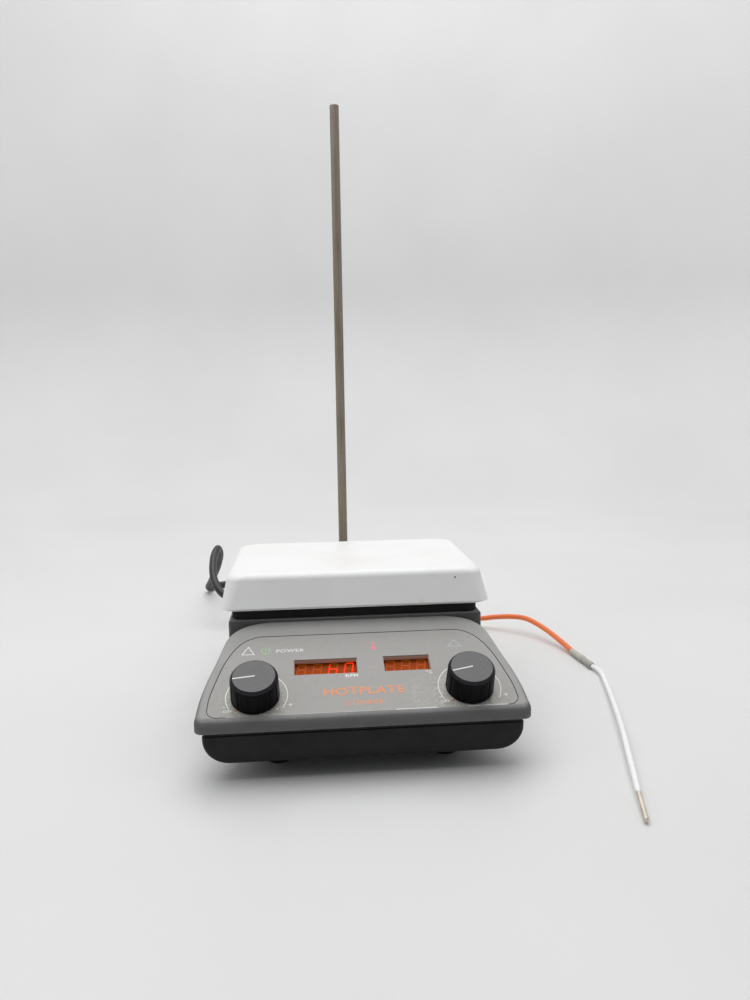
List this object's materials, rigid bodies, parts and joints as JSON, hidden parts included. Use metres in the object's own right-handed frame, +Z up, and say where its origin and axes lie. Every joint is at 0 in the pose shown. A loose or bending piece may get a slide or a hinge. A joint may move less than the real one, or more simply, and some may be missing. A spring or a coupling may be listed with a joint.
{
  "type": "heated magnetic stirrer",
  "caption": "Stirring hotplate with a white ceramic top, sloping panel with knobs and displays, support rod, mains cord and a wired temperature probe.",
  "frame": {"origin": "centre of the top plate's upper face, on the stirring axis; the feet stand 108.5 mm below it", "axes": "+X to the right seen from the control panel, +Y from the panel towards the rod and mains cord, +Z up"},
  "size_m": [0.3514, 0.5957, 0.463],
  "materials": {
    "white_ceramic": "gloss",
    "grey_housing": "satin",
    "charcoal_tray": "satin",
    "panel_film": "satin",
    "black_plastic": "satin",
    "cap_grey": "satin",
    "amber_filter": "gloss",
    "display_module": "satin",
    "circuit_board": "satin",
    "green_light": "satin",
    "red_light": "satin",
    "rubber": "matte",
    "plated_steel": "satin",
    "worn_steel": "satin",
    "aluminium": "satin",
    "brass": "satin",
    "ceramic_fibre": "matte",
    "magnet": "satin",
    "cord_rubber": "satin",
    "orange_cable": "satin",
    "white_sleeve": "satin",
    "shrink_grey": "matte"
  },
  "bodies": {
    "base": {"upper_housing": "grey_housing", "base_tray": "charcoal_tray", "foot_1": "rubber", "foot_2": "rubber", "foot_3": "rubber", "foot_4": "rubber", "base_screw_1": "plated_steel", "base_screw_2": "plated_steel", "base_screw_3": "plated_steel", "base_screw_4": "plated_steel", "top_plate": "white_ceramic", "heat_shield_pan": "plated_steel", "heater_element": "plated_steel", "insulation_pad": "ceramic_fibre", "plate_sensor": "plated_steel", "plate_gasket": "rubber", "plate_post_1": "plated_steel", "plate_post_2": "plated_steel", "plate_post_3": "plated_steel", "plate_post_4": "plated_steel", "motor_can": "plated_steel", "motor_bracket": "plated_steel", "panel_overlay": "panel_film", "stir_window": "amber_filter", "heat_window": "amber_filter", "stir_display": "display_module", "heat_display": "display_module", "display_board": "circuit_board", "power_light": "green_light", "heat_light": "red_light", "stir_pot_body": "plated_steel", "stir_pot_nut": "brass", "heat_pot_body": "plated_steel", "heat_pot_nut": "brass", "power_board": "circuit_board", "transformer": "plated_steel", "heat_sink": "aluminium", "rod_socket": "aluminium", "mains_inlet": "black_plastic", "cord_connector": "cord_rubber", "power_cord": "cord_rubber", "mains_plug": "cord_rubber", "probe_jack": "black_plastic", "probe_plug": "black_plastic", "probe_cable": "orange_cable", "probe_ferrule": "shrink_grey", "probe_sleeve": "white_sleeve", "probe_tip": "worn_steel"},
    "stir_control": {"stir_knob": "black_plastic", "stir_knob_cap": "cap_grey", "stir_pot_shaft": "plated_steel"},
    "heat_control": {"heat_knob": "black_plastic", "heat_knob_cap": "cap_grey", "heat_pot_shaft": "plated_steel"},
    "stir_drive": {"motor_shaft": "plated_steel", "magnet_holder": "black_plastic", "drive_magnet_north": "magnet", "drive_magnet_south": "magnet"},
    "rod": {"support_rod": "worn_steel"},
    "clamp_screw": {"rod_clamp_screw": "black_plastic"}
  },
  "joints": [
    {"name": "stir_knob_turn", "type": "hinge", "parent": "base", "child": "stir_control", "pos_m": [-0.0638, -0.11662, -0.06033], "axis": [0, -0.4399, 0.898], "range_deg": [-225, 45]},
    {"name": "heat_knob_turn", "type": "hinge", "parent": "base", "child": "heat_control", "pos_m": [0.0638, -0.11662, -0.06033], "axis": [0, -0.4399, 0.898], "range_deg": [-225, 45]},
    {"name": "stir_magnet_spin", "type": "hinge", "parent": "base", "child": "stir_drive", "pos_m": [0, 0, -0.03], "axis": [0, 0, 1], "continuous": true},
    {"name": "support_rod_lift", "type": "slide", "parent": "base", "child": "rod", "axis": [0, 0, 1], "range_m": [0, 0.04]},
    {"name": "rod_clamp_turn", "type": "hinge", "parent": "base", "child": "clamp_screw", "pos_m": [0, 0.12, -0.0195], "axis": [0, 1, 0], "range_deg": [0, 540]}
  ]
}
